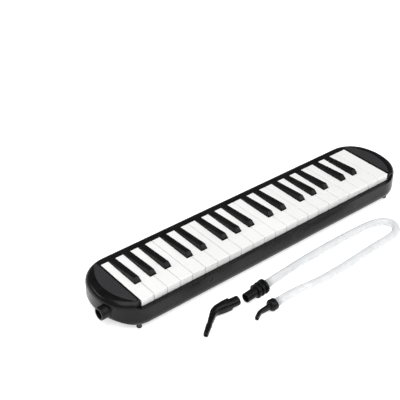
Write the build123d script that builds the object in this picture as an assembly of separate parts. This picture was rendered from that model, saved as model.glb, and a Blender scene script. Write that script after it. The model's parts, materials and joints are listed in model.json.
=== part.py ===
from build123d import *
import math
import os

# A 37-key melodica with its short mouthpiece and its blowing hose.
#
# All sizes are millimetres, worked out in the keyboard's own axes: X runs along the keys
# from low to high notes and is 0 at the lowest key's left edge, Y is 0 at the visible rear
# edge of the white keys and falls towards the player, and Z is 0 on the white key tops.
# write() then moves every piece so that the origin is the centre of the mouthpiece socket.

os.makedirs("parts", exist_ok=True)

# Keyboard
WHITE_PITCH = 20.0
WHITE_LENGTH = 86.6
WHITE_GAP = 0.6
WHITE_FRONT_HEIGHT = 10.0
PLATE_THICKNESS = 2.0
SKIRT_WALL = 1.5
SKIRT_REAR_Y = -30.0
BLACK_WIDTH = 9.6
BLACK_LENGTH = 57.0
BLACK_HEIGHT = 6.2
BLACK_REAR_HEIGHT = 1.4
BLACK_TOP_WIDTH = 7.4
BLACK_FACET = (1.8, 3.4)
SLOT_GAP = 0.5
SLOT_FRONT_GAP = 1.0
WHITE_NOTES = "fgabcde"
WHITE_COUNT = 22
LOWEST_OCTAVE = 3
# How far each black key stands from the joint between its two white keys
BLACK_SHIFT = {"f": -3.2, "g": 0.0, "a": 3.2, "c": -1.8, "d": 1.8}
FIELD = WHITE_PITCH * WHITE_COUNT

# Key action: all keys turn on one rod, and lift a pad off a valve behind it
ROD_Y, ROD_Z, ROD_RADIUS = -20.0, -7.0, 1.25
ROD_CLEARANCE = 0.05
STEM_WIDTH = 6.0
STEM_FRONT_Y = -38.0
STEM_BOTTOM_Z = -9.5
TAIL_REAR_Y, TAIL_TOP_Z = 8.5, -5.0
PAD_THICKNESS, PAD_WIDTH = 1.45, 8.2
SPRING_Y, SPRING_RADIUS, SPRING_WIRE = -32.0, 2.2, 0.6
DECK_Z = -14.0
SEAT_Z = -11.05

# Case, seen from above: straight sides, an arc across each end, a tighter arc at each corner
HALF_DEPTH, MIDDLE_Y = 54.25, -39.25
END_BULGE, END_RADIUS, CORNER_RADIUS = 36.0, 75.0, 45.0
TOP_Z, PARTING_Z, BOTTOM_Z, FLOOR_Z = 0.5, -24.0, -40.0, -44.0
WALL = 2.2
TOP_EDGE_RADIUS, BOTTOM_EDGE_RADIUS, END_TUCK = 9.0, 12.0, 32.0
FRONT_RAIL_Z, FRONT_RAIL_Y = -10.0, -88.1
RAMP_LENGTH = 14.0
WELL_GAP = 0.4
SHELF_TOP_Z, SHELF_REAR_Y, FELT_THICKNESS = -17.0, -70.0, 2.0
DIMPLE_X, DIMPLE_Z, DIMPLE_RADIUS = 103.5, -17.0, 2.6

# End plates: a D-shaped inlay beside each end of the keyboard
INLAY_RADIUS, INLAY_CENTRE_X, INLAY_CENTRE_Y = 67.4, 45.1, -38.6
INLAY_EDGE_X, INLAY_DEPTH, INLAY_GAP = -2.4, 1.4, 0.15

# Wind way
SOCKET_X, SOCKET_Y, SOCKET_Z = -43.0, -57.9, -18.0
SOCKET_RADIUS, BORE_RADIUS = 8.8, 6.55
BLOCK_Y0, BLOCK_Y1 = -62.0, 10.0
BLOCK_BOTTOM_Z = -22.5
CELL_WIDTH, CELL_ROOF_Z = 8.4, -16.0
REED_PLATE, REED, GASKET = 1.2, 0.3, 1.2
CHAMBER_BOTTOM_Z, CHAMBER_Y1 = -34.0, 8.2
DUCT_X0, DUCT_Y0, DUCT_Y1, DUCT_TOP_Z = -14.0, -68.5, -47.5, -8.0
LONGEST_REED, SHORTEST_REED = 36.0, 14.0

# Drain valve in the right-hand end
DRAIN_Y, DRAIN_Z, DRAIN_RADIUS = MIDDLE_Y, -29.2, 4.6

# Fasteners, feet and strap
CORNER_SCREW = (-10.0, -76.0, -3.0)
SHELF_SCREWS_X, SHELF_SCREW_Y = (60.0, 140.0, 220.0, 300.0, 380.0), -74.0
SCREW_RADIUS, SCREW_HEAD_RADIUS, SCREW_HEAD_Z, SCREW_TIP_Z = 1.4, 2.9, -33.0, -18.0
POST_RADIUS = 3.6
FOOT_RADIUS, FOOT_X, FOOT_FRONT_Y, FOOT_REAR_Y, FOOT_TOP_Z = 3.5, -2.0, -83.0, 5.0, -35.4
STRAP_X0, STRAP_X1, STRAP_WIDTH, STRAP_THICKNESS = 118.0, 252.0, 25.0, 1.4
STRAP_DROP = 1.4

# Short mouthpiece, lying on the floor in front of the case
TENON_RADIUS = 6.5
MOUTHPIECE_END = (118.2, -128.6, 8.0)
MOUTHPIECE_HEADING, MOUTHPIECE_BEND = 176.0, 41.0

# Blowing hose: x, y and height above the floor of each point that its line turns at.
# It leaves its connector level, comes down to the floor, turns back on itself in a tight
# U and rises a little again into its mouth tip.
HOSE_RADIUS, HOSE_BORE = 5.75, 4.2
SPIGOT_LENGTH = 9.0
TIP_BEND = 27.0
HOSE_ROUTE = [
    (161.0, -130.4, 10.0),
    (182.9, -128.5, 10.0),
    (214.0, -123.4, 6.7),
    (262.0, -120.2, 5.9),
    (318.0, -119.6, 5.9),
    (356.0, -121.0, 5.9),
    (379.0, -123.5, 5.9),
    (392.5, -131.0, 5.9),
    (396.0, -144.0, 5.9),
    (387.5, -155.0, 5.9),
    (369.0, -160.2, 5.9),
    (334.0, -160.4, 5.9),
    (280.0, -164.0, 5.9),
    (228.0, -165.2, 5.9),
    (193.0, -161.4, 6.9),
    (171.0, -161.6, 8.0),
    (149.8, -162.2, 8.0),
]

SMALL = 0.02


def block(x0, x1, y0, y1, z0, z1):
    size = (x1 - x0, y1 - y0, z1 - z0)
    middle = ((x0 + x1) / 2, (y0 + y1) / 2, (z0 + z1) / 2)
    return Location(middle) * Box(*size)


def rod(radius, start, direction, length):
    plane = Plane(origin=start, z_dir=direction)
    flat = Align.CENTER, Align.CENTER, Align.MIN
    return plane * Cylinder(radius, length, align=flat)


def upright(radius, x, y, z0, z1):
    return rod(radius, (x, y, z0), (0, 0, 1), z1 - z0)


def mirrored(x):
    return FIELD - x


def fused(pieces):
    first, *rest = pieces
    for piece in rest:
        first = first + piece
    return first


def without(shape, cutters):
    return shape - list(cutters)


def write(name, pieces):
    solids = [solid for piece in pieces for solid in piece.solids()]
    away = Location((-SOCKET_X, -SOCKET_Y, -SOCKET_Z))
    export_step(Compound(children=[away * solid for solid in solids]), f"parts/{name}.step")


# ---------------------------------------------------------------- keys


def keyboard():
    """Every key from low to high: its name, whether it is black, its left and right edge
    at the front, and its left and right edge behind the black keys' front ends."""
    whites, blacks = [], {}
    for place in range(WHITE_COUNT):
        note = WHITE_NOTES[place % 7]
        octave = LOWEST_OCTAVE + (place + 3) // 7
        whites.append((note, octave))
        if note in BLACK_SHIFT and place < WHITE_COUNT - 1:
            blacks[place] = (place + 1) * WHITE_PITCH + BLACK_SHIFT[note]
    reach = BLACK_WIDTH / 2 + SLOT_GAP
    keys = []
    for place, (note, octave) in enumerate(whites):
        left = place * WHITE_PITCH + WHITE_GAP / 2
        right = (place + 1) * WHITE_PITCH - WHITE_GAP / 2
        rear_left = blacks[place - 1] + reach if place - 1 in blacks else left
        rear_right = blacks[place] - reach if place in blacks else right
        keys.append((f"white_key_{note}{octave}", False, left, right, rear_left, rear_right))
        if place in blacks:
            edges = blacks[place] - BLACK_WIDTH / 2, blacks[place] + BLACK_WIDTH / 2
            keys.append((f"black_key_{note}s{octave}", True, *edges, *edges))
    return keys


KEYS = keyboard()
STEMS = [(key[4] + key[5]) / 2 for key in KEYS]


def stem_and_pad(x, top_z):
    """The rib that holds the rod, its tail below the rear rail, and the pad under the tail."""
    half = STEM_WIDTH / 2
    rib = block(x - half, x + half, STEM_FRONT_Y, -1.2, STEM_BOTTOM_Z, top_z)
    tail = block(x - half, x + half, -1.5, TAIL_REAR_Y, STEM_BOTTOM_Z, TAIL_TOP_Z)
    bore_radius = ROD_RADIUS + ROD_CLEARANCE
    bore = rod(bore_radius, (x - STEM_WIDTH, ROD_Y, ROD_Z), (1, 0, 0), 2 * STEM_WIDTH)
    pad_top = STEM_BOTTOM_Z - SMALL
    pad = block(x - PAD_WIDTH / 2, x + PAD_WIDTH / 2, 0.2, 8.4, pad_top - PAD_THICKNESS, pad_top)
    return rib + tail, bore, pad


def white_outline(left, right, rear_left, rear_right, inset):
    notch_y = -BLACK_LENGTH - SLOT_FRONT_GAP - inset
    front_y, rear_y = -WHITE_LENGTH + inset, -inset
    left, right = left + inset, right - inset
    rear_left, rear_right = rear_left + inset, rear_right - inset
    points = [(left, front_y), (right, front_y)]
    if rear_right < right:
        points += [(right, notch_y), (rear_right, notch_y)]
    points += [(rear_right, rear_y), (rear_left, rear_y)]
    if rear_left > left:
        points += [(rear_left, notch_y), (left, notch_y)]
    return make_face(Polyline(*points, close=True).edges())


def white_key(left, right, rear_left, rear_right, stem_x):
    edges = left, right, rear_left, rear_right
    body = extrude(white_outline(*edges, 0), amount=WHITE_FRONT_HEIGHT, dir=(0, 0, -1))
    corners = body.edges().filter_by(Axis.Z).group_by(Axis.Y)[0]
    body = fillet(corners, 1.0)
    rims = body.faces().sort_by(Axis.Z)[-1].edges()
    body = fillet(rims, 0.6)
    hollow = extrude(
        white_outline(*edges, SKIRT_WALL),
        amount=WHITE_FRONT_HEIGHT - PLATE_THICKNESS,
        dir=(0, 0, -1),
    )
    body = body - Location((0, 0, -PLATE_THICKNESS)) * hollow
    under = -WHITE_FRONT_HEIGHT - 1
    body = body - block(left - 1, right + 1, SKIRT_REAR_Y, 1, under, -PLATE_THICKNESS)
    stem, bore, pad = stem_and_pad(stem_x, -PLATE_THICKNESS + SMALL)
    return [body + stem - bore, pad]


def black_key(left, right, stem_x):
    rear_y = -0.4
    facet_z, facet_y = BLACK_FACET
    profile = Polyline(
        (-BLACK_LENGTH, -PLATE_THICKNESS),
        (-BLACK_LENGTH, facet_z),
        (-BLACK_LENGTH + facet_y, BLACK_HEIGHT),
        (rear_y, BLACK_REAR_HEIGHT),
        (rear_y, -PLATE_THICKNESS),
        close=True,
    )
    side = Plane(origin=(left, 0, 0), x_dir=(0, 1, 0), z_dir=(1, 0, 0))
    body = extrude(side * make_face(profile.edges()), amount=BLACK_WIDTH, dir=(1, 0, 0))
    draft = (BLACK_WIDTH - BLACK_TOP_WIDTH) / 2
    wedge = Polyline((0, 0.4), (draft, BLACK_HEIGHT), (0, BLACK_HEIGHT), close=True)
    face = Plane(origin=(0, 1, 0), x_dir=(1, 0, 0), z_dir=(0, -1, 0)) * make_face(wedge.edges())
    cutter = extrude(face, amount=BLACK_LENGTH + 2, dir=(0, -1, 0))
    body = body - Location((left, 0, 0)) * cutter
    body = body - Location((right, 0, 0)) * mirror(cutter, about=Plane.YZ)
    tops = [
        edge
        for edge in body.edges()
        if edge.bounding_box().max.Z > facet_z + 1 and edge.bounding_box().max.Y < rear_y + 0.01
        and not (edge.bounding_box().size.Z < 0.01 and edge.bounding_box().max.Y > rear_y - 0.01)
    ]
    body = fillet(tops, 0.7)
    skirt_z = -8.0
    skirt = block(left, right, -BLACK_LENGTH, SKIRT_REAR_Y, skirt_z, -PLATE_THICKNESS + SMALL)
    hollow = block(
        left + SKIRT_WALL,
        right - SKIRT_WALL,
        -BLACK_LENGTH + SKIRT_WALL,
        SKIRT_REAR_Y - SKIRT_WALL,
        skirt_z - 1,
        -PLATE_THICKNESS + 1.0,
    )
    stem, bore, pad = stem_and_pad(stem_x, -PLATE_THICKNESS + SMALL)
    return [body + skirt - hollow + stem - bore, pad]


def make_keys():
    for (name, is_black, left, right, rear_left, rear_right), stem_x in zip(KEYS, STEMS):
        if is_black:
            write(name, black_key(left, right, stem_x))
        else:
            write(name, white_key(left, right, rear_left, rear_right, stem_x))


# ---------------------------------------------------------------- case


def case_outline(inset):
    """The case's plan, with every wall moved in by inset."""
    end_x = END_RADIUS - END_BULGE
    rise = HALF_DEPTH - CORNER_RADIUS
    reach = math.sqrt((END_RADIUS - CORNER_RADIUS) ** 2 - rise**2)
    corner_x = end_x - reach
    turn = math.atan2(rise, -reach)
    half = HALF_DEPTH - inset

    def on_arc(centre_x, centre_y, radius, angle):
        return (
            centre_x + (radius - inset) * math.cos(angle),
            MIDDLE_Y + centre_y + (radius - inset) * math.sin(angle),
        )

    rear_mid = (turn + math.pi / 2) / 2
    rear_left = (corner_x, MIDDLE_Y + half)
    rear_middle = on_arc(corner_x, rise, CORNER_RADIUS, rear_mid)
    rear_joint = on_arc(end_x, 0, END_RADIUS, turn)
    apex = (-END_BULGE + inset, MIDDLE_Y)
    front_joint = on_arc(end_x, 0, END_RADIUS, -turn)
    front_middle = on_arc(corner_x, -rise, CORNER_RADIUS, -rear_mid)
    front_left = (corner_x, MIDDLE_Y - half)

    def other(point):
        return mirrored(point[0]), point[1]

    edges = [
        ThreePointArc(rear_left, rear_middle, rear_joint),
        ThreePointArc(rear_joint, apex, front_joint),
        ThreePointArc(front_joint, front_middle, front_left),
        Line(front_left, other(front_left)),
        ThreePointArc(other(front_left), other(front_middle), other(front_joint)),
        ThreePointArc(other(front_joint), other(apex), other(rear_joint)),
        ThreePointArc(other(rear_joint), other(rear_middle), other(rear_left)),
        Line(other(rear_left), rear_left),
    ]
    return make_face([edge for item in edges for edge in item.edges()])


def slab(inset, z0, z1):
    return Location((0, 0, z0)) * extrude(case_outline(inset), amount=z1 - z0)


def dome(inset, z0, z1, radius):
    """A slab whose upper edge is rounded."""
    body = slab(inset, z0, z1)
    return fillet(body.faces().sort_by(Axis.Z)[-1].edges(), radius)


def dish(inset, z0, z1, radius):
    """A slab whose lower edge is rounded."""
    body = slab(inset, z0, z1)
    return fillet(body.faces().sort_by(Axis.Z)[0].edges(), radius)


def end_trim(inset):
    """What is outside the lower case's ends, which draw in like a bowl on the way down."""
    axis_x = END_RADIUS - END_BULGE
    rim, run = END_RADIUS - inset, END_TUCK - inset
    low_z = BOTTOM_Z + inset
    section = Plane(origin=(axis_x, MIDDLE_Y, 0), x_dir=(0, 1, 0), z_dir=(1, 0, 0))
    bowl = EllipticalCenterArc((rim - run, PARTING_Z), run, PARTING_Z - low_z, 270, arc_size=90)
    rest = Polyline(
        (rim, PARTING_Z),
        (END_RADIUS + 20, PARTING_Z),
        (END_RADIUS + 20, BOTTOM_Z - 2),
        (rim - run, BOTTOM_Z - 2),
        (rim - run, low_z),
    )
    face = section * make_face([*bowl.edges(), *rest.edges()])
    axis = Axis((axis_x, MIDDLE_Y, 0), (0, 0, 1))
    return both_ends(revolve(face, axis=axis, revolution_arc=180))


def both_ends(shape):
    middle = Plane(origin=(FIELD / 2, 0, 0), z_dir=(1, 0, 0))
    return [shape, mirror(shape, about=middle)]


def inlay(shrink, z0, z1):
    """The D beside the left end of the keyboard, cut smaller by shrink."""
    disc = upright(INLAY_RADIUS - shrink, INLAY_CENTRE_X, INLAY_CENTRE_Y, z0, z1)
    keep = block(-60, INLAY_EDGE_X - shrink, -120, 60, z0, z1)
    shape = disc & keep
    return fillet(shape.edges().filter_by(Axis.Z), 2.0 - shrink)


def screw_places():
    x, front_y, rear_y = CORNER_SCREW
    corners = [(place, y) for place in (x, mirrored(x)) for y in (front_y, rear_y)]
    return corners, [(place, SHELF_SCREW_Y) for place in SHELF_SCREWS_X]


def socket_hole():
    return rod(SOCKET_RADIUS + SMALL, (SOCKET_X - 1, SOCKET_Y, SOCKET_Z), (1, 0, 0), 27)


def upper_case():
    shell = dome(0, PARTING_Z, TOP_Z, TOP_EDGE_RADIUS)
    # The front rail lies below the key tops; a ramp at each end comes down to it.
    step_y = FRONT_RAIL_Y + 1.2
    ramp_x, high_z = -3.0, 4.0
    slope = RAMP_LENGTH * (high_z - FRONT_RAIL_Z) / (TOP_Z - FRONT_RAIL_Z)
    trough = Polyline(
        (ramp_x, FRONT_RAIL_Z),
        (mirrored(ramp_x), FRONT_RAIL_Z),
        (mirrored(ramp_x) + slope, high_z),
        (ramp_x - slope, high_z),
        close=True,
    )
    lane = Plane(origin=(0, step_y, 0), x_dir=(1, 0, 0), z_dir=(0, -1, 0))
    shell = shell - extrude(lane * make_face(trough.edges()), amount=30, dir=(0, -1, 0))
    cavity = dome(WALL, PARTING_Z - 1, TOP_Z - WALL, TOP_EDGE_RADIUS - WALL)
    rail_y, rail_z = step_y + WALL, FRONT_RAIL_Z - WALL
    cavity = cavity - block(-60, FIELD + 60, -120, rail_y, rail_z, TOP_Z + 1)
    shell = shell - cavity
    well_x0, well_x1 = -WELL_GAP, FIELD + WELL_GAP
    roof_z = TOP_Z - WALL + SMALL
    inner_front_y = MIDDLE_Y - HALF_DEPTH + WALL - SMALL
    side = block(well_x0 - 2, well_x0 + SMALL, FRONT_RAIL_Y, 9.0, -12.5, roof_z)
    shelf_z = SHELF_TOP_Z - 2.0
    shelf = block(0, FIELD, inner_front_y, SHELF_REAR_Y, shelf_z, SHELF_TOP_Z)
    shell = fused([shell, *both_ends(side), shelf])
    corners, along_shelf = screw_places()
    posts = [upright(POST_RADIUS, x, y, PARTING_Z, roof_z) for x, y in corners]
    posts += [upright(POST_RADIUS, x, y, PARTING_Z, shelf_z + SMALL) for x, y in along_shelf]
    shell = fused([shell, *posts])
    holes = [
        upright(SCREW_RADIUS + SMALL, x, y, PARTING_Z - 1, SCREW_TIP_Z + 0.4)
        for x, y in corners + along_shelf
    ]
    well = block(well_x0, well_x1, FRONT_RAIL_Y, 0.3, SHELF_TOP_Z, TOP_Z + 1)
    front_y = MIDDLE_Y - HALF_DEPTH
    dimple = rod(DIMPLE_RADIUS, (DIMPLE_X, front_y - 1, DIMPLE_Z), (0, 1, 0), 1.4)
    pockets = both_ends(inlay(0, TOP_Z - INLAY_DEPTH, TOP_Z + 1))
    shell = without(shell, [well, *holes, dimple, socket_hole(), *pockets])
    lips = [
        edge
        for edge in shell.edges().filter_by(Axis.X)
        if abs(edge.center().Z - FRONT_RAIL_Z) < 0.01 and edge.length > FIELD
    ]
    shell = fillet(lips, 1.0)
    write("upper_case", [shell])


def lower_case():
    lip_z = PARTING_Z + 2.0
    top_z = PARTING_Z - 0.15
    shell = dish(0, BOTTOM_Z, top_z, BOTTOM_EDGE_RADIUS)
    floor_z = BOTTOM_Z + WALL
    lip = slab(WALL + 0.1, top_z - 2, lip_z) + slab(WALL - SMALL, top_z - 2, top_z)
    lip = lip - slab(WALL + 1.0, top_z - 3, lip_z + 1)
    cavity = dish(WALL, floor_z, PARTING_Z + 1, BOTTOM_EDGE_RADIUS - WALL)
    shell = shell - without(cavity, end_trim(WALL))
    shell = shell + lip
    corners, along_shelf = screw_places()
    boss_z0 = BOTTOM_Z + 1.0
    bosses = [upright(4.2, x, y, boss_z0, top_z) for x, y in corners + along_shelf]
    feet = foot_places()
    pads = [upright(FOOT_RADIUS + 2, x, y, boss_z0, FOOT_TOP_Z + 1.2) for x, y in feet]
    ribs = [
        block(x, x + 2, BLOCK_Y0 + 2, CHAMBER_Y1 - 6, floor_z - SMALL, CHAMBER_BOTTOM_Z)
        for x in (20, 80, 180, 300, 420)
    ]
    body = fused([shell, *bosses, *pads, *ribs]) & dish(0, BOTTOM_Z, lip_z + 1, BOTTOM_EDGE_RADIUS)
    cutters = [
        upright(SCREW_HEAD_RADIUS + 0.3, x, y, BOTTOM_Z - 1, SCREW_HEAD_Z)
        for x, y in corners + along_shelf
    ]
    cutters += [upright(SCREW_RADIUS + 0.3, x, y, -34, top_z + 1) for x, y in corners + along_shelf]
    cutters += [upright(FOOT_RADIUS, x, y, BOTTOM_Z - 1, FOOT_TOP_Z) for x, y in feet]
    cutters += end_trim(0)
    half = STRAP_WIDTH / 2 + 0.6
    for x in (STRAP_X0, STRAP_X1 - STRAP_THICKNESS):
        slot = block(
            x - 0.6,
            x + STRAP_THICKNESS + 0.6,
            MIDDLE_Y - half,
            MIDDLE_Y + half,
            BOTTOM_Z - 1,
            floor_z + 1,
        )
        cutters.append(slot)
    cutters.append(socket_hole())
    start = (FIELD + END_BULGE - 15, DRAIN_Y, DRAIN_Z)
    cutters.append(rod(DRAIN_RADIUS + 0.1, start, (1, 0, 0), 19))
    write("lower_case", [without(body, cutters)])


def end_plates():
    plate = inlay(INLAY_GAP, TOP_Z - INLAY_DEPTH, TOP_Z - 0.1)
    plate = fillet(plate.faces().sort_by(Axis.Z)[-1].edges(), 0.4)
    write("end_plates", both_ends(plate))


def foot_places():
    return [(x, y) for x in (FOOT_X, mirrored(FOOT_X)) for y in (FOOT_FRONT_Y, FOOT_REAR_Y)]


def feet():
    pieces = []
    for x, y in foot_places():
        foot = upright(FOOT_RADIUS, x, y, FLOOR_Z, FOOT_TOP_Z)
        foot = fillet(foot.faces().sort_by(Axis.Z)[0].edges(), 0.8)
        pieces.append(foot)
    write("feet", pieces)


def case_screws():
    pieces = []
    corners, along_shelf = screw_places()
    for x, y in corners + along_shelf:
        head = upright(SCREW_HEAD_RADIUS, x, y, SCREW_HEAD_Z - 2.0, SCREW_HEAD_Z)
        head = fillet(head.faces().sort_by(Axis.Z)[0].edges(), 0.8)
        shank = upright(SCREW_RADIUS, x, y, SCREW_HEAD_Z - SMALL, SCREW_TIP_Z)
        low_z = SCREW_HEAD_Z - 3
        high_z = SCREW_HEAD_Z - 0.9
        cross = [
            block(x - 1.7, x + 1.7, y - 0.3, y + 0.3, low_z, high_z),
            block(x - 0.3, x + 0.3, y - 1.7, y + 1.7, low_z, high_z),
        ]
        pieces.append(without(head + shank, cross))
    write("case_screws", pieces)


def hand_strap():
    low = BOTTOM_Z - STRAP_DROP - STRAP_THICKNESS
    high = BOTTOM_Z - STRAP_DROP
    y0, y1 = MIDDLE_Y - STRAP_WIDTH / 2, MIDDLE_Y + STRAP_WIDTH / 2
    band = block(STRAP_X0, STRAP_X1, y0, y1, low, high)
    ends = [
        block(x, x + STRAP_THICKNESS, y0, y1, low, -36.6)
        for x in (STRAP_X0, STRAP_X1 - STRAP_THICKNESS)
    ]
    write("hand_strap", [fused([band, *ends])])


# ---------------------------------------------------------------- wind way


def blow_socket():
    end_x = DUCT_X0 - SMALL
    body = rod(SOCKET_RADIUS, (SOCKET_X, SOCKET_Y, SOCKET_Z), (1, 0, 0), end_x - SOCKET_X)
    flange = rod(10.4, (-25.0, SOCKET_Y, SOCKET_Z), (1, 0, 0), 2.0)
    body = body + flange
    mouth = body.faces().sort_by(Axis.X)[0].edges()
    body = fillet(mouth, 0.9)
    bore = rod(BORE_RADIUS, (SOCKET_X - 1, SOCKET_Y, SOCKET_Z), (1, 0, 0), 40)
    groove_x = SOCKET_X + 3.0
    ring = rod(SOCKET_RADIUS + 1, (groove_x, SOCKET_Y, SOCKET_Z), (1, 0, 0), 0.8)
    ring = ring - rod(SOCKET_RADIUS - 0.3, (groove_x - 1, SOCKET_Y, SOCKET_Z), (1, 0, 0), 3)
    write("blow_socket", [body - bore - ring])


def air_chamber():
    top_z = BLOCK_BOTTOM_Z - REED_PLATE - GASKET
    x0, x1 = -3.0, FIELD + 3.0
    tray = block(x0, x1, BLOCK_Y0, CHAMBER_Y1, CHAMBER_BOTTOM_Z, top_z)
    tray = chamfer(tray.edges().filter_by(Axis.Z).group_by(Axis.Y)[-1], 5.0)
    duct = block(DUCT_X0, x0 + SMALL, DUCT_Y0, DUCT_Y1, CHAMBER_BOTTOM_Z, DUCT_TOP_Z)
    inner = block(
        x0 + WALL, x1 - WALL, BLOCK_Y0 + WALL, CHAMBER_Y1 - WALL, CHAMBER_BOTTOM_Z + 1.8, top_z + 1
    )
    inner = chamfer(inner.edges().filter_by(Axis.Z).group_by(Axis.Y)[-1], 5.0)
    wall = 1.5
    way = block(
        DUCT_X0 + wall,
        x0 - wall,
        DUCT_Y0 + wall,
        DUCT_Y1 - wall,
        CHAMBER_BOTTOM_Z + 1.8,
        DUCT_TOP_Z - wall,
    )
    window = block(x0 - 2, x0 + WALL + 1, BLOCK_Y0 + WALL, DUCT_Y1 - wall, -32.0, top_z - 1.5)
    entry = rod(BORE_RADIUS, (DUCT_X0 - 1, SOCKET_Y, SOCKET_Z), (1, 0, 0), 4)
    outlet = rod(2.2, (x1 - 4, DRAIN_Y, DRAIN_Z), (1, 0, 0), 8)
    write("air_chamber", [without(tray + duct, [inner, way, window, entry, outlet])])


def chamber_gasket():
    top_z = BLOCK_BOTTOM_Z - REED_PLATE
    frame = block(-1, FIELD + 1, BLOCK_Y0, BLOCK_Y1, top_z - GASKET, top_z)
    window = block(2, FIELD - 2, BLOCK_Y0 + 3.2, CHAMBER_Y1 - 2.6, top_z - 3, top_z + 1)
    write("chamber_gasket", [frame - window])


def valve_block():
    body = block(-1, FIELD + 1, BLOCK_Y0, BLOCK_Y1, BLOCK_BOTTOM_Z, DECK_Z)
    seats, cutters = [], []
    half = CELL_WIDTH / 2
    for x in STEMS:
        seats.append(block(x - half, x + half, -0.2, 8.8, DECK_Z - SMALL, SEAT_Z))
        cutters.append(block(x - half, x + half, -54, 8, BLOCK_BOTTOM_Z - 1, CELL_ROOF_Z))
        cutters.append(block(x - 2.7, x + 2.7, 1.6, 7.0, CELL_ROOF_Z - 1, SEAT_Z + 1))
    write("valve_block", [without(fused([body, *seats]), cutters)])


def reed_length(place):
    """Speaking length: low notes have long tongues, high notes short ones."""
    return LONGEST_REED * (SHORTEST_REED / LONGEST_REED) ** (place / (len(STEMS) - 1))


REED_ROOT_Y = -46.0


def reed_plates():
    """Three brass plates, each with a window and a rivet hole for every reed on it."""
    top_z = BLOCK_BOTTOM_Z
    cuts = [-1.0]
    for place in (13, 25):
        cuts.append((STEMS[place - 1] + STEMS[place]) / 2)
    cuts.append(FIELD + 1)
    holes = []
    for place, x in enumerate(STEMS):
        end_y = REED_ROOT_Y + reed_length(place)
        holes.append(block(x - 1.4, x + 1.4, REED_ROOT_Y, end_y, top_z - 3, top_z + 1))
        holes.append(upright(0.9, x, REED_ROOT_Y - 2.5, top_z - 3, top_z + 1))
    plates = []
    for x0, x1 in zip(cuts, cuts[1:]):
        plate = block(x0 + 0.1, x1 - 0.1, BLOCK_Y0 + 0.5, BLOCK_Y1 - 0.5, top_z - REED_PLATE, top_z)
        plates.append(without(plate, holes))
    write("reed_plates", plates)


def reeds():
    top_z = BLOCK_BOTTOM_Z - REED_PLATE
    tongues = []
    for place, x in enumerate(STEMS):
        end_y = REED_ROOT_Y + reed_length(place) - 0.4
        base = block(x - 1.9, x + 1.9, REED_ROOT_Y - 5, REED_ROOT_Y, top_z - REED, top_z)
        tongue = block(x - 1.25, x + 1.25, REED_ROOT_Y - SMALL, end_y, top_z - REED, top_z)
        hole = upright(0.9, x, REED_ROOT_Y - 2.5, top_z - 2, top_z + 1)
        tongues.append(base + tongue - hole)
    write("reeds", tongues)


def reed_rivets():
    top_z = BLOCK_BOTTOM_Z
    under_z = top_z - REED_PLATE - REED
    pieces = []
    for x in STEMS:
        shank = upright(0.88, x, REED_ROOT_Y - 2.5, under_z - SMALL, top_z)
        head = upright(1.5, x, REED_ROOT_Y - 2.5, under_z - 0.5, under_z)
        pieces.append(shank + head)
    write("reed_rivets", pieces)


# ---------------------------------------------------------------- key action


def key_rod():
    write("key_rod", [rod(ROD_RADIUS, (-0.2, ROD_Y, ROD_Z), (1, 0, 0), FIELD + 0.4)])


def key_comb():
    """A strip on the valve block, with a post between every two keys to carry the rod."""
    strip = block(0, FIELD, ROD_Y - 4, ROD_Y + 4, DECK_Z + SMALL, DECK_Z + 1.5)
    places = [(a + b) / 2 for a, b in zip(STEMS, STEMS[1:])]
    places = [1.1, *places, FIELD - 1.1]
    posts = [block(x - 1, x + 1, ROD_Y - 3, ROD_Y + 3, DECK_Z + 1, -4.0) for x in places]
    way = rod(ROD_RADIUS + SMALL, (-1, ROD_Y, ROD_Z), (1, 0, 0), FIELD + 2)
    write("key_comb", [fused([strip, *posts]) - way])


def key_springs():
    """One sleeve for each key's coil spring, standing on the valve block under its rib."""
    pieces = []
    low_z, high_z = DECK_Z + SMALL, STEM_BOTTOM_Z - SMALL
    for x in STEMS:
        outer = upright(SPRING_RADIUS, x, SPRING_Y, low_z, high_z)
        inner = upright(SPRING_RADIUS - SPRING_WIRE, x, SPRING_Y, low_z - 1, high_z + 1)
        pieces.append(outer - inner)
    write("key_springs", pieces)


def key_stop_felt():
    top_z = SHELF_TOP_Z + FELT_THICKNESS
    write("key_stop_felt", [block(1, FIELD - 1, -85.5, -76.5, SHELF_TOP_Z, top_z)])


# ---------------------------------------------------------------- drain valve


def drain_valve():
    chamber_x = FIELD + 3.0
    inner_x = chamber_x - WALL
    tip_x = FIELD + END_BULGE + 2.0
    collar_x = FIELD + END_BULGE - 17.0

    def along(radius, x0, x1):
        return rod(radius, (x0, DRAIN_Y, DRAIN_Z), (1, 0, 0), x1 - x0)

    head = along(DRAIN_RADIUS, collar_x, tip_x)
    head = fillet(head.faces().sort_by(Axis.X)[-1].edges(), 1.2)
    collar = along(5.6, collar_x, collar_x + 1.8)
    stem = along(1.5, inner_x - 2.0, collar_x + SMALL)
    seal = along(2.9, inner_x - 2.1, inner_x - 0.1)
    write("drain_button", [fused([head, collar, stem, seal])])
    coil = along(3.4, chamber_x + 0.1, collar_x - 0.1) - along(2.6, chamber_x, collar_x)
    write("drain_spring", [coil])


# ---------------------------------------------------------------- mouthpiece and hose


def on_floor(point):
    x, y, height = point
    return Vector(x, y, FLOOR_Z + height)


def heading(degrees):
    angle = math.radians(degrees)
    return Vector(math.cos(angle), math.sin(angle), 0)


def section(centre, direction, width, height):
    """A rounded oblong standing across direction, width across the floor."""
    across = Vector(0, 0, 1).cross(direction)
    plane = Plane(origin=centre, x_dir=across, z_dir=direction)
    return plane * RectangleRounded(width, height, 0.42 * min(width, height))


def lofted(stations):
    return loft([section(*station) for station in stations])


def ruled(stations):
    return loft([section(*station) for station in stations], ruled=True)


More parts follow.
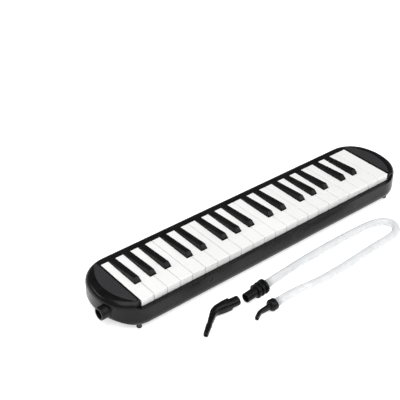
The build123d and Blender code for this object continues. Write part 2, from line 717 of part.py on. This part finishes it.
def mouthpiece():
    """A tenon, a full body that narrows into its bend, a thin neck and a flat lip piece."""
    start = on_floor(MOUTHPIECE_END)
    ahead = heading(MOUTHPIECE_HEADING)
    turned = heading(MOUTHPIECE_HEADING + MOUTHPIECE_BEND)
    shoulder = start + ahead * 13.5
    bend = start + ahead * 37.0
    collar = bend + turned * 26.0
    tip = bend + turned * 44.0
    tenon = rod(TENON_RADIUS, start, ahead, 14.0)
    tenon = fillet(tenon.faces().sort_by(Axis.X)[-1].edges(), 0.6)
    body = lofted([
        (shoulder, ahead, 15.0, 15.8),
        (shoulder + ahead * 9.0, ahead, 14.6, 15.4),
        (bend - ahead * 6.0, ahead, 12.6, 13.8),
    ])
    bow_radius = 6.0 / math.tan(math.radians(MOUTHPIECE_BEND) / 2)
    bow_centre = bend - ahead * 6.0 + Vector(-ahead.Y, ahead.X, 0) * bow_radius
    bow = []
    for share in (0.0, 0.25, 0.5, 0.75, 1.0):
        way = heading(MOUTHPIECE_HEADING + share * MOUTHPIECE_BEND)
        place = bow_centre + Vector(way.Y, -way.X, 0) * bow_radius
        bow.append((place, way, 12.6 - 3.8 * share, 13.8 - 3.6 * share))
    neck = [(bend + turned * 6.0, turned, 8.8, 10.2), (collar + turned * 0.5, turned, 6.0, 7.0)]
    lip = [(collar, turned, 7.6, 8.2), (tip, turned, 6.0, 7.2)]
    lip_piece = lofted(lip)
    lip_piece = fillet(lip_piece.faces().sort_by(Axis.X)[0].edges(), 1.2)
    shape = fused([tenon, body, ruled(bow), ruled(neck), lip_piece])
    throat = rod(4.6, start - ahead, ahead, 28.0)
    way = FilletPolyline(start + ahead * 20.0, bend, tip + turned * 2.0, radius=8.0)
    mouth = Plane(origin=start + ahead * 20.0, z_dir=ahead) * Circle(1.6)
    write("mouthpiece", [shape - throat - sweep(mouth, path=way)])


def hose_points():
    return [on_floor(point) for point in HOSE_ROUTE]


def hose_radii(points):
    """Each corner's arc takes up to 0.45 of the shorter run beside it."""
    radii = []
    for before, corner, after in zip(points, points[1:], points[2:]):
        turn = (corner - before).get_angle(after - corner)
        shorter = min((corner - before).length, (after - corner).length)
        radii.append(0.45 * shorter / math.tan(math.radians(turn) / 2))
    return radii


def hose():
    points = hose_points()
    radii = hose_radii(points)
    path = FilletPolyline(*points, radius=radii)
    plane = Plane(origin=points[0], z_dir=points[1] - points[0])
    outer = sweep(plane * Circle(HOSE_RADIUS), path=path)
    inner = sweep(plane * Circle(HOSE_BORE), path=path)
    tube = outer - inner
    length = path.length
    ring = math.pi * (HOSE_RADIUS**2 - HOSE_BORE**2)
    print("hose radii", [round(radius, 1) for radius in radii], "tightest", round(min(radii), 1))
    print("hose length", round(length, 1))
    print("hose volume", round(tube.volume), "expected", round(ring * length))
    write("hose", [tube])


def hose_connector():
    """Plug for the socket: a tenon, three finger rings and a spigot inside the hose."""
    points = hose_points()
    start = points[0]
    into = (points[1] - points[0]).normalized()
    back = into * -1

    def along(radius, near, far):
        return rod(radius, start + back * near, back, far - near)

    spigot = rod(HOSE_BORE - SMALL, start - into * SMALL, into, SPIGOT_LENGTH)
    rings = [along(10.0, SMALL, 3.4), along(9.8, 8.0, 9.9), along(9.6, 14.9, 16.7)]
    rings = [fillet(ring.edges().filter_by(GeomType.CIRCLE), 0.5) for ring in rings]
    core = along(7.3, 0.5, 17.0)
    tenon = along(TENON_RADIUS, 16.0, 34.5)
    tenon = fillet(tenon.faces().sort_by(Axis.X)[0].edges(), 0.7)
    bore = along(3.4, -SPIGOT_LENGTH - 1, 36.0)
    mouth = along(5.0, 24.0, 36.0)
    shape = fused([spigot, *rings, core, tenon])
    write("hose_connector", [shape - bore - mouth])


def hose_tip():
    """Mouth end of the hose: a cup over a spigot, and a thin beak with a bent end."""
    points = hose_points()
    end = points[-1]
    out = (points[-1] - points[-2]).normalized()
    spigot = rod(HOSE_BORE - SMALL, end + out * SMALL, out * -1, SPIGOT_LENGTH)
    cup = rod(7.9, end + out * SMALL, out, 9.0)
    cup = fillet(cup.faces().sort_by(Axis.X)[0].edges(), 3.5)
    end_way = heading(math.degrees(math.atan2(out.Y, out.X)) + TIP_BEND)
    root = end + out * 6.0
    knee = end + out * 25.5
    lip = knee + end_way * 12.0
    beak = ruled([
        (root, out, 7.0, 8.2),
        (knee - out * 1.6, out, 5.4, 6.8),
        (knee + end_way * 1.6, end_way, 5.4, 6.8),
        (lip, end_way, 5.0, 7.2),
    ])
    beak = fillet(beak.faces().sort_by(Axis.X)[0].edges(), 0.8)
    way = FilletPolyline(end - out * (SPIGOT_LENGTH + 1), knee, lip + end_way * 2, radius=6.0)
    start = Plane(origin=end - out * (SPIGOT_LENGTH + 1), z_dir=out)
    shape = fused([spigot, cup, beak])
    write("hose_tip", [shape - sweep(start * Circle(1.5), path=way)])


make_keys()
upper_case()
lower_case()
end_plates()
feet()
case_screws()
hand_strap()
blow_socket()
air_chamber()
chamber_gasket()
valve_block()
reed_plates()
reeds()
reed_rivets()
key_rod()
key_comb()
key_springs()
key_stop_felt()
drain_valve()
mouthpiece()
hose()
hose_connector()
hose_tip()
print("nodes", len(os.listdir("parts")))
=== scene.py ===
import json
import math

import bmesh
import bpy
from mathutils import Matrix, Vector


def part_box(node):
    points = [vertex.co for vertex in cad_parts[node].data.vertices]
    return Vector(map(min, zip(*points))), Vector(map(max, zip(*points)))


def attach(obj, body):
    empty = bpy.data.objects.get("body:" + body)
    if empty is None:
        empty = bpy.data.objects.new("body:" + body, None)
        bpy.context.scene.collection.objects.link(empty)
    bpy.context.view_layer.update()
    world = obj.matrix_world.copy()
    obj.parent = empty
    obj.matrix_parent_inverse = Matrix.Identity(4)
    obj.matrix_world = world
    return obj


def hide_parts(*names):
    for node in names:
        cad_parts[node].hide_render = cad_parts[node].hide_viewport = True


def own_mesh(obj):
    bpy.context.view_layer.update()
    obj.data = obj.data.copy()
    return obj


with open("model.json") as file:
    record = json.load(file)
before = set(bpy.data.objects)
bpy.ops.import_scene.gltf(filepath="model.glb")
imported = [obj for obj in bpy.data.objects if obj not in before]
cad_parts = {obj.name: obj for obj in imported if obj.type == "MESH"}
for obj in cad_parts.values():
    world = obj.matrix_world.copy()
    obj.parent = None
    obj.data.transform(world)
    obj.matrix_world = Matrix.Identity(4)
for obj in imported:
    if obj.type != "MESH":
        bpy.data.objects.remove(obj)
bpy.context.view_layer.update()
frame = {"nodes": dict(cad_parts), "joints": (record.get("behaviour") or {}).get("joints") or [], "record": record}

# A melodica with its mouthpiece and its blowing hose: materials, hose, springs and set.
# Lengths are metres in the part's own frame, whose origin is the mouth of the socket.

MM = 0.001
FLOOR_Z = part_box("feet")[0].z

# ------------------------------------------------------------------ camera

CAMERA_PLACE = (-0.4259, -0.7204, 0.7435)
CAMERA_AZIMUTH, CAMERA_ELEVATION = -38.98, 34.82
CAMERA_LENS, SENSOR = 82.55, 36.0


def add_camera():
    data = bpy.data.cameras.new("camera")
    data.lens = CAMERA_LENS
    data.sensor_width = SENSOR
    data.clip_end = 20
    camera = bpy.data.objects.new("camera", data)
    camera.location = CAMERA_PLACE
    tilt = math.radians(90 - CAMERA_ELEVATION)
    camera.rotation_euler = (tilt, 0, math.radians(CAMERA_AZIMUTH))
    bpy.context.scene.collection.objects.link(camera)
    bpy.context.scene.camera = camera


# ------------------------------------------------------------------ material tools


# Noise is stretched this much along each axis to give thin, long scratches.
SCRATCH_STRETCH = (12, 900, 300)


class Look:
    """A node tree with one Principled shader, and short ways to feed its sockets."""

    def __init__(self, name, colour, roughness, **fixed):
        self.material = bpy.data.materials.new(name)
        self.material.use_nodes = True
        self.tree = self.material.node_tree
        self.shader = self.tree.nodes["Principled BSDF"]
        self.shader.inputs["Base Color"].default_value = (*colour, 1)
        self.shader.inputs["Roughness"].default_value = roughness
        for key, value in fixed.items():
            self.shader.inputs[key.replace("_", " ")].default_value = value
        self.place = self.node("ShaderNodeTexCoord").outputs["Object"]
        self.height = None

    def node(self, kind, **values):
        node = self.tree.nodes.new(kind)
        for key, value in values.items():
            setattr(node, key, value)
        return node

    def link(self, out, into):
        self.tree.links.new(out, into)

    def stretched(self, scale):
        mapping = self.node("ShaderNodeMapping")
        mapping.inputs["Scale"].default_value = scale
        self.link(self.place, mapping.inputs["Vector"])
        return mapping.outputs["Vector"]

    def noise(self, scale, detail=4.0, stretch=None):
        noise = self.node("ShaderNodeTexNoise")
        noise.inputs["Scale"].default_value = scale
        noise.inputs["Detail"].default_value = detail
        self.link(self.stretched(stretch) if stretch else self.place, noise.inputs["Vector"])
        return noise.outputs["Fac"]

    def ranged(self, value, low, high, start=0.35, end=0.65):
        """value, from start to end, becomes low to high."""
        ramp = self.node("ShaderNodeMapRange")
        ramp.inputs["From Min"].default_value = start
        ramp.inputs["From Max"].default_value = end
        ramp.inputs["To Min"].default_value = low
        ramp.inputs["To Max"].default_value = high
        self.link(value, ramp.inputs["Value"])
        return ramp.outputs["Result"]

    def combined(self, operation, one, other):
        node = self.node("ShaderNodeMath", operation=operation)
        for value, socket in zip((one, other), node.inputs):
            if isinstance(value, (int, float)):
                socket.default_value = value
            else:
                self.link(value, socket)
        return node.outputs[0]

    def rough(self, value):
        self.link(value, self.shader.inputs["Roughness"])

    def tint(self, value, colour, other):
        """Base colour: colour where value is 0, other where it is 1."""
        mix = self.node("ShaderNodeMix", data_type="RGBA")
        mix.inputs["A"].default_value = (*colour, 1)
        mix.inputs["B"].default_value = (*other, 1)
        self.link(value, mix.inputs["Factor"])
        self.link(mix.outputs["Result"], self.shader.inputs["Base Color"])

    def bump(self, value, strength, distance):
        bump = self.node("ShaderNodeBump")
        bump.inputs["Strength"].default_value = strength
        bump.inputs["Distance"].default_value = distance
        self.link(value, bump.inputs["Height"])
        if self.height is not None:
            self.link(self.height, bump.inputs["Normal"])
        self.height = bump.outputs["Normal"]
        self.link(self.height, self.shader.inputs["Normal"])

    def scratches(self, angle, scale, low=0.64, high=0.7):
        """Thin lines along angle, in the X-Y plane: 1 on a scratch and 0 off it."""
        mapping = self.node("ShaderNodeMapping")
        mapping.inputs["Rotation"].default_value = (0, 0, math.radians(angle))
        mapping.inputs["Scale"].default_value = SCRATCH_STRETCH
        self.link(self.place, mapping.inputs["Vector"])
        noise = self.node("ShaderNodeTexNoise")
        noise.inputs["Scale"].default_value = scale
        noise.inputs["Detail"].default_value = 2.0
        self.link(mapping.outputs["Vector"], noise.inputs["Vector"])
        return self.ranged(noise.outputs["Fac"], 0, 1, low, high)


def black_gloss(name, roughness=0.2, grain=1.0):
    """Moulded black ABS: a faint orange peel, hairline scratches and uneven handling gloss."""
    look = Look(name, (0.005, 0.005, 0.0055), roughness, Specular_IOR_Level=0.15)
    handling = look.ranged(look.noise(14, 5), roughness - 0.05, roughness + 0.12)
    lines = look.combined("MULTIPLY", look.scratches(24, 1.0), 0.16)
    look.rough(look.combined("ADD", handling, lines))
    look.tint(look.ranged(look.noise(60, 6), 0, 1), (0.004, 0.004, 0.0045), (0.008, 0.008, 0.0085))
    look.bump(look.noise(420, 3), 0.05 * grain, 0.0004)
    look.bump(look.scratches(-37, 1.3), 0.04 * grain, 0.00005)
    return look.material


def white_gloss():
    """White key plastic: a little depth, a trace of warm ageing, fingertip haze."""
    look = Look("white_key_plastic", (0.84, 0.84, 0.835), 0.2, Subsurface_Weight=0.08)
    look.shader.inputs["Subsurface Radius"].default_value = (0.002, 0.0018, 0.0016)
    look.shader.inputs["Coat Weight"].default_value = 0.2
    look.shader.inputs["Coat Roughness"].default_value = 0.08
    haze = look.ranged(look.noise(22, 4), 0.16, 0.3)
    lines = look.combined("MULTIPLY", look.scratches(83, 1.1, 0.66, 0.72), 0.12)
    look.rough(look.combined("ADD", haze, lines))
    look.tint(look.ranged(look.noise(9, 5), 0, 1), (0.86, 0.86, 0.855), (0.82, 0.82, 0.81))
    look.bump(look.noise(350, 2), 0.03, 0.0003)
    return look.material


def satin_plate():
    """Dark inlay with a fine spark-eroded grain."""
    look = Look("plate_plastic", (0.022, 0.022, 0.024), 0.42, Specular_IOR_Level=0.5)
    look.rough(look.ranged(look.noise(30, 5), 0.36, 0.5))
    look.tint(look.ranged(look.noise(700, 2), 0, 1), (0.018, 0.018, 0.02), (0.032, 0.032, 0.034))
    look.bump(look.noise(1500, 3), 0.25, 0.0002)
    return look.material


def rubber(name, shade):
    look = Look(name, (shade, shade, shade), 0.7, Specular_IOR_Level=0.35)
    look.rough(look.ranged(look.noise(90, 4), 0.6, 0.85))
    look.tint(look.ranged(look.noise(250, 5), 0, 1), (shade,) * 3, (shade * 2.2,) * 3)
    look.bump(look.noise(900, 4), 0.25, 0.0003)
    return look.material


def drawn_metal(name, colour, roughness=0.28, stretch=(1, 40, 40)):
    """Metal with fine drawing lines along X and small dull patches."""
    look = Look(name, colour, roughness, Metallic=1.0)
    look.rough(look.ranged(look.noise(35, 4), roughness - 0.08, roughness + 0.14))
    darker = tuple(value * 0.72 for value in colour)
    look.tint(look.ranged(look.noise(60, 6), 0, 1), colour, darker)
    look.bump(look.noise(60, 3, stretch), 0.12, 0.0002)
    return look.material


def plain_moulded():
    look = Look("inner_plastic", (0.5, 0.5, 0.51), 0.5)
    look.rough(look.ranged(look.noise(40, 4), 0.42, 0.6))
    look.tint(look.ranged(look.noise(25, 5), 0, 1), (0.5, 0.5, 0.51), (0.42, 0.42, 0.43))
    look.bump(look.noise(600, 3), 0.15, 0.0003)
    return look.material


def felt():
    look = Look("felt", (0.02, 0.02, 0.022), 0.95, Sheen_Weight=0.2)
    look.tint(look.ranged(look.noise(900, 6), 0, 1), (0.02, 0.02, 0.022), (0.06, 0.06, 0.065))
    look.bump(look.noise(1600, 6), 0.8, 0.0006)
    return look.material


def webbing():
    """Black woven tape: ribs across it, crossed by fine warp threads."""
    look = Look("strap_webbing", (0.018, 0.018, 0.02), 0.85, Sheen_Weight=0.25)
    ribs = look.node("ShaderNodeTexWave", bands_direction="X")
    ribs.inputs["Scale"].default_value = 260
    ribs.inputs["Distortion"].default_value = 0.6
    look.link(look.place, ribs.inputs["Vector"])
    warp = look.node("ShaderNodeTexWave", bands_direction="Y")
    warp.inputs["Scale"].default_value = 190
    look.link(look.place, warp.inputs["Vector"])
    weave = look.combined("MULTIPLY", ribs.outputs["Fac"], warp.outputs["Fac"])
    look.tint(weave, (0.01, 0.01, 0.011), (0.045, 0.045, 0.048))
    look.rough(look.ranged(look.noise(80, 4), 0.75, 0.95))
    look.bump(weave, 0.7, 0.0006)
    return look.material


def milky_tube(cuffs):
    """Soft milky tube, clearer where it is thin, and greyer near each cuff, where a dark
    spigot shows through it."""
    look = Look("hose_tube", (0.76, 0.77, 0.78), 0.25, Subsurface_Weight=0.35, IOR=1.43)
    look.shader.inputs["Subsurface Radius"].default_value = (0.006, 0.006, 0.0065)
    look.shader.inputs["Transmission Weight"].default_value = 0.12
    near = None
    for point in cuffs:
        distance = look.node("ShaderNodeVectorMath", operation="DISTANCE")
        distance.inputs[1].default_value = point
        look.link(look.place, distance.inputs[0])
        close = look.ranged(distance.outputs["Value"], 1, 0, 0.007, 0.014)
        near = close if near is None else look.combined("MAXIMUM", near, close)
    clouds = look.ranged(look.noise(45, 3), 0, 0.12)
    shade = look.combined("ADD", look.combined("MULTIPLY", near, 0.5), clouds)
    look.tint(shade, (0.76, 0.77, 0.78), (0.26, 0.27, 0.28))
    look.rough(look.ranged(look.noise(30, 4), 0.18, 0.34))
    look.bump(look.noise(120, 2), 0.08, 0.0005)
    return look.material


# ------------------------------------------------------------------ hose

# The hose's route: the same points as the CAD tube turns at, x, y and height over the floor,
# in millimetres in the keyboard's axes, whose origin is at KEYBOARD in this frame.
KEYBOARD = Vector((0.043, 0.0579, 0.018))
HOSE_DIAMETER = 0.0115
HOSE_ROUTE = [
    (161.0, -130.4, 10.0),
    (182.9, -128.5, 10.0),
    (214.0, -123.4, 6.7),
    (262.0, -120.2, 5.9),
    (318.0, -119.6, 5.9),
    (356.0, -121.0, 5.9),
    (379.0, -123.5, 5.9),
    (392.5, -131.0, 5.9),
    (396.0, -144.0, 5.9),
    (387.5, -155.0, 5.9),
    (369.0, -160.2, 5.9),
    (334.0, -160.4, 5.9),
    (280.0, -164.0, 5.9),
    (228.0, -165.2, 5.9),
    (193.0, -161.4, 6.9),
    (171.0, -161.6, 8.0),
    (149.8, -162.2, 8.0),
]


def on_floor(point):
    x, y, height = (value * MM for value in point)
    return Vector((x + KEYBOARD.x, y + KEYBOARD.y, FLOOR_Z + height))


def add_hose():
    points = [on_floor(point) for point in HOSE_ROUTE]
    curve = bpy.data.curves.new("hose_tube", "CURVE")
    curve.dimensions = "3D"
    spline = curve.splines.new("NURBS")
    spline.points.add(len(points) - 1)
    for place, point in zip(spline.points, points):
        place.co = (*point, 1)
    spline.order_u = 3
    spline.use_endpoint_u = True
    spline.resolution_u = 14
    curve.bevel_depth = HOSE_DIAMETER / 2
    curve.bevel_resolution = 8
    curve.use_fill_caps = True
    hose = bpy.data.objects.new("hose_tube", curve)
    bpy.context.scene.collection.objects.link(hose)
    ends = points[0], points[-1]
    curve.materials.append(milky_tube(ends))
    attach(hose, "hose_set")
    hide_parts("hose")


# ------------------------------------------------------------------ springs


KEY_WIRE, DRAIN_WIRE = 0.6 * MM, 0.8 * MM
# The share of a coil's turns, at each end, that lies flat.
DEAD_SHARE = 0.12


def coil_mesh(name, radius, wire, start, end, turns, side=8, steps=16):
    """A closed round-wire coil from start to end, with dead turns at both of its ends."""
    axis = end - start
    length = axis.length
    frame_z = axis.normalized()
    frame_x = frame_z.orthogonal().normalized()
    frame_y = frame_z.cross(frame_x)
    count = int(turns * steps)
    mesh = bmesh.new()
    rings = []
    for step in range(count + 1):
        share = step / count
        rise = min(max((share - DEAD_SHARE) / (1 - 2 * DEAD_SHARE), 0.0), 1.0)
        angle = share * turns * 2 * math.pi
        outward = frame_x * math.cos(angle) + frame_y * math.sin(angle)
        middle = start + frame_z * (wire / 2 + rise * (length - wire)) + outward * radius
        ring = []
        for place in range(side):
            turn = 2 * math.pi * place / side
            offset = outward * math.cos(turn) + frame_z * math.sin(turn)
            ring.append(mesh.verts.new(middle + offset * wire / 2))
        rings.append(ring)
    for ring, following in zip(rings, rings[1:]):
        for place in range(side):
            after = (place + 1) % side
            mesh.faces.new((ring[place], ring[after], following[after], following[place]))
    mesh.faces.new(list(reversed(rings[0])))
    mesh.faces.new(rings[-1])
    bmesh.ops.recalc_face_normals(mesh, faces=mesh.faces)
    data = bpy.data.meshes.new(name)
    mesh.to_mesh(data)
    mesh.free()
    for polygon in data.polygons:
        polygon.use_smooth = True
    piece = bpy.data.objects.new(name, data)
    bpy.context.scene.collection.objects.link(piece)
    return piece


def key_centres():
    """The body, the joint and the middle, along X, of each key that turns on a hinge."""
    return [(j["child"], j["name"], j["pos_m"][0]) for j in frame["joints"] if j["type"] == "hinge"]


def add_springs(steel):
    low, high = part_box("key_springs")
    middle_y = (low.y + high.y) / 2
    radius = (high.y - low.y) / 2 - KEY_WIRE / 2
    for key, joint, x in key_centres():
        start, end = Vector((x, middle_y, low.z)), Vector((x, middle_y, high.z))
        name = f"spring_{key}"
        coil = coil_mesh(name, radius, KEY_WIRE, start, end, turns=4.5, steps=12, side=6)
        coil.data.materials.append(steel)
        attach(coil, "case")
        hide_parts("key_springs")
        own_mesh(coil)
    low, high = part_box("drain_spring")
    middle = (low + high) / 2
    start, end = Vector((low.x, middle.y, middle.z)), Vector((high.x, middle.y, middle.z))
    radius = (high.z - low.z) / 2 - DRAIN_WIRE / 2
    coil = coil_mesh("drain_coil", radius, DRAIN_WIRE, start, end, turns=9)
    coil.data.materials.append(steel)
    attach(coil, "case")
    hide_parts("drain_spring")
    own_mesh(coil)


# ------------------------------------------------------------------ finishes


def finish_nodes():
    black = black_gloss("case_plastic")
    fitting = black_gloss("fitting_plastic", 0.24)
    black_key = black_gloss("black_key_plastic", 0.18, 0.6)
    white_key = white_gloss()
    inner = plain_moulded()
    steel = drawn_metal("steel", (0.6, 0.6, 0.62))
    spring = drawn_metal("spring_steel", (0.55, 0.55, 0.57), 0.3, (1, 1, 1))
    brass = drawn_metal("reed_brass", (0.78, 0.58, 0.26), 0.25, (40, 1, 40))
    looks = {
        "case_plastic": black,
        "plate_plastic": satin_plate(),
        "white_key_plastic": white_key,
        "black_key_plastic": black_key,
        "foot_rubber": rubber("foot_rubber", 0.02),
        "screw_steel": steel,
        "strap_webbing": webbing(),
        "fitting_plastic": fitting,
        "inner_plastic": inner,
        "gasket_rubber": rubber("gasket_rubber", 0.05),
        "reed_brass": brass,
        "rod_steel": steel,
        "spring_steel": spring,
        "felt": felt(),
        "hose_tube": fitting,
    }
    for entry in frame["record"]["subparts"]:
        node = frame["nodes"][entry["node"]]
        node.data.materials.clear()
        node.data.materials.append(looks[entry["material_slot"]])
    return spring


# ------------------------------------------------------------------ set


FLOOR_SIDE = 12
FLOOR_GAP = 0.1 * MM


def add_floor():
    look = Look("floor", (0.9, 0.9, 0.9), 0.6, Emission_Strength=0.6)
    look.shader.inputs["Emission Color"].default_value = (1, 1, 1, 1)
    bpy.ops.mesh.primitive_plane_add(size=FLOOR_SIDE, location=(0.2, 0, FLOOR_Z - FLOOR_GAP))
    floor = bpy.context.object
    floor.name = "floor"
    floor.data.materials.append(look.material)


def add_light(name, place, target, size, power):
    data = bpy.data.lights.new(name, "AREA")
    data.shape = "RECTANGLE"
    data.size, data.size_y = size
    data.energy = power
    light = bpy.data.objects.new(name, data)
    light.location = place
    aim = Vector(target) - Vector(place)
    light.rotation_euler = aim.to_track_quat("-Z", "Y").to_euler()
    bpy.context.scene.collection.objects.link(light)


def add_lights():
    centre = (0.26, 0.0, 0.0)  # about the middle of the case
    add_light("ceiling_softbox", (-0.3, -0.7, 2.2), centre, (2.6, 2.6), 75)
    add_light("front_softbox", (1.6, -1.9, 1.7), centre, (1.4, 1.4), 20)
    add_light("rear_strip", (-1.3, 1.5, 1.15), centre, (1.2, 0.3), 7)
    world = bpy.data.worlds.new("studio")
    world.use_nodes = True
    background = world.node_tree.nodes["Background"]
    background.inputs["Color"].default_value = (1, 1, 1, 1)
    background.inputs["Strength"].default_value = 0.12
    bpy.context.scene.world = world
    bpy.context.scene.view_settings.view_transform = "Standard"


add_camera()
add_hose()
spring_steel = finish_nodes()
add_springs(spring_steel)
add_floor()
add_lights()
